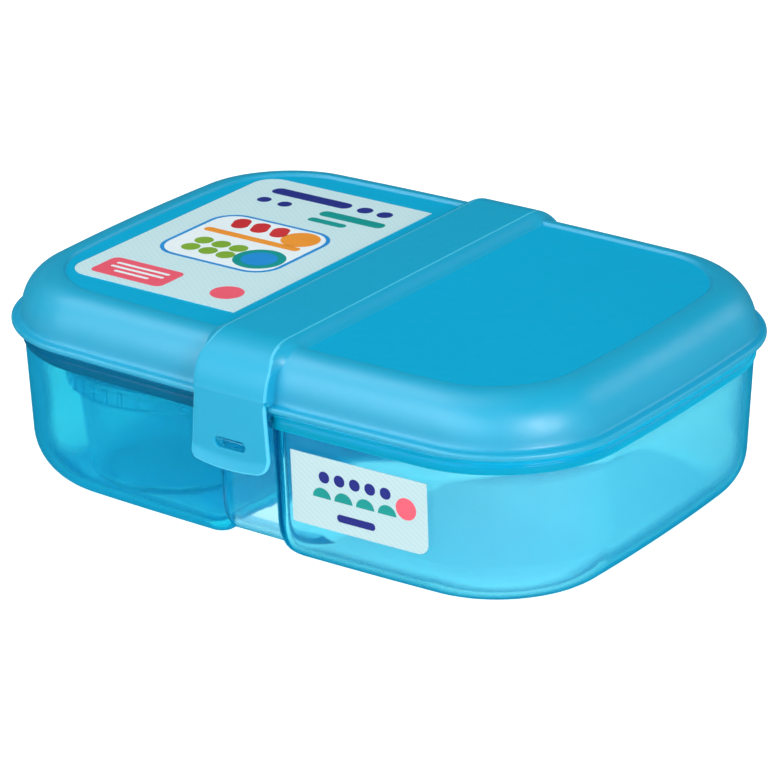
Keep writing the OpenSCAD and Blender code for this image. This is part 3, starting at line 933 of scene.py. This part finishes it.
# ---------------------------------------------------------------- put it together
build_lid()
build_ribbon()
build_clip()
build_cup("right_well_shell", 1, "right_well", [tub_mat, rim_shade_mat])
build_cup("left_wells_shell", -1, "left_wells", [left_shaded_mat, left_rim_shade_mat])
build_bridge()
build_divider()
build_hinges()
build_top_label()
build_front_label()

for name, mat in (("pot_cup", pot_mat), ("pot_lid", potlid_mat)):
    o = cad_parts[name]
    o.data.materials.clear()
    o.data.materials.append(mat)

# ---------------------------------------------------------------- floor, light and camera
floor_mat = Mat("floor_pale")
floor_mat.link(floor_mat.mix(floor_mat.ramp(floor_mat.noise(3.0, 2.0), 0.3, 0.7, 0, 1), (0.40, 0.40, 0.40, 1), (0.42, 0.42, 0.42, 1)), floor_mat.bsdf.inputs["Base Color"])
floor_mat.link(floor_mat.ramp(floor_mat.noise(40.0, 2.0), 0.3, 0.7, 0.85, 0.95), floor_mat.bsdf.inputs["Roughness"])
floor_mat.set(Specular_IOR_Level=0.0, Emission_Color=(1, 1, 1, 1), Emission_Strength=0.95)
fm = bpy.data.meshes.new("studio_floor")
fm.from_pydata([(-6, -6, -0.0002), (6, -6, -0.0002), (6, 6, -0.0002), (-6, 6, -0.0002)], [], [(0, 1, 2, 3)])
fm.materials.append(floor_mat.m)
floor = bpy.data.objects.new("studio_floor", fm)
bpy.context.scene.collection.objects.link(floor)
floor.visible_glossy = False

world = bpy.data.worlds.new("studio")
world.use_nodes = True
wt = world.node_tree
wt.nodes.clear()


def wnode(kind):
    return wt.nodes.new(kind)


w_out = wnode("ShaderNodeOutputWorld")
w_dir = wnode("ShaderNodeTexCoord")
w_xyz = wnode("ShaderNodeSeparateXYZ")
w_rng = wnode("ShaderNodeMapRange")
w_mix = wnode("ShaderNodeMix")
w_soft = wnode("ShaderNodeBackground")
w_seen = wnode("ShaderNodeBackground")
w_path = wnode("ShaderNodeLightPath")
w_any = wnode("ShaderNodeMath")
w_sw = wnode("ShaderNodeMixShader")
wt.links.new(w_dir.outputs["Generated"], w_xyz.inputs[0])
w_rng.inputs["From Min"].default_value, w_rng.inputs["From Max"].default_value = -0.10, 0.05
wt.links.new(w_xyz.outputs["Z"], w_rng.inputs["Value"])
w_mix.data_type = "RGBA"
w_mix.inputs["A"].default_value = (0.0, 0.10, 0.16, 1)
w_mix.inputs["B"].default_value = (0.52, 0.86, 1, 1)
wt.links.new(w_rng.outputs["Result"], w_mix.inputs["Factor"])
wt.links.new(w_mix.outputs["Result"], w_soft.inputs["Color"])
w_soft.inputs["Strength"].default_value = 0.14
w_seen.inputs["Color"].default_value = (1, 1, 1, 1)
w_seen.inputs["Strength"].default_value = 1.0
w_any.operation = "MAXIMUM"
wt.links.new(w_path.outputs["Is Camera Ray"], w_any.inputs[0])
wt.links.new(w_path.outputs["Is Transmission Ray"], w_any.inputs[1])
wt.links.new(w_any.outputs[0], w_sw.inputs[0])
wt.links.new(w_soft.outputs[0], w_sw.inputs[1])
wt.links.new(w_seen.outputs[0], w_sw.inputs[2])
wt.links.new(w_sw.outputs[0], w_out.inputs["Surface"])
bpy.context.scene.world = world


def softbox(name, loc, target, w, h, power, spread=180):
    L = bpy.data.lights.new(name, "AREA")
    L.shape = "RECTANGLE"
    L.size, L.size_y = w, h
    L.energy = power
    L.spread = math.radians(spread)
    o = bpy.data.objects.new(name, L)
    bpy.context.scene.collection.objects.link(o)
    o.location = loc
    d = Vector(target) - Vector(loc)
    o.rotation_euler = d.to_track_quat("-Z", "Y").to_euler()
    return o


def box_from(name, direction, dist, w, h, radiance, only=None):
    d = Vector(direction).normalized()
    o = softbox(name, d * dist, (0, 0, 0.03), w, h, radiance * math.pi * w * h)
    if only == "sheen":
        o.visible_diffuse = False
    elif only == "fill":
        o.visible_glossy = False
    return o


box_from("key_right", (0.86, -0.34, 0.38), 1.3, 0.55, 0.55, 9.6)
box_from("front_fill", (-0.10, -0.85, 0.5), 1.5, 1.0, 0.5, 3.25, "fill")
box_from("front_sheen", (-0.10, -0.88, 0.36), 1.5, 1.9, 0.8, 2.5, "sheen")
box_from("front_left", (-0.52, -0.78, 0.36), 1.6, 0.8, 0.8, 0.6)
box_from("slope_sheen", (-0.57, -0.32, 0.75), 1.5, 0.7, 0.7, 3.0, "sheen")
box_from("overhead", (-0.25, -0.2, 0.9), 1.6, 1.2, 1.2, 3.35, "fill")
box_from("back_right", (0.48, 0.76, 0.42), 1.6, 0.8, 0.6, 1.5)

cam = bpy.data.cameras.new("camera")
cam.sensor_width = 36
cam.lens = 3780.594 / 780 * 36
cam.clip_start, cam.clip_end = 0.05, 50
co = bpy.data.objects.new("camera", cam)
bpy.context.scene.collection.objects.link(co)
right = Vector((0.817798, 0.575415, -0.010196))
up = Vector((-0.212294, 0.318092, 0.923985))
back = Vector((0.534918, -0.753469, 0.382293))
m = Matrix.Identity(4)
for i in range(3):
    m[i][0], m[i][1], m[i][2] = right[i], up[i], back[i]
m[0][3], m[1][3], m[2][3] = 0.610515, -0.858459, 0.463571
co.matrix_world = m
bpy.context.scene.camera = co

vs = bpy.context.scene.view_settings
vs.view_transform = "Standard"
vs.look = "None"
vs.exposure = 0.0
vs.gamma = 1.0
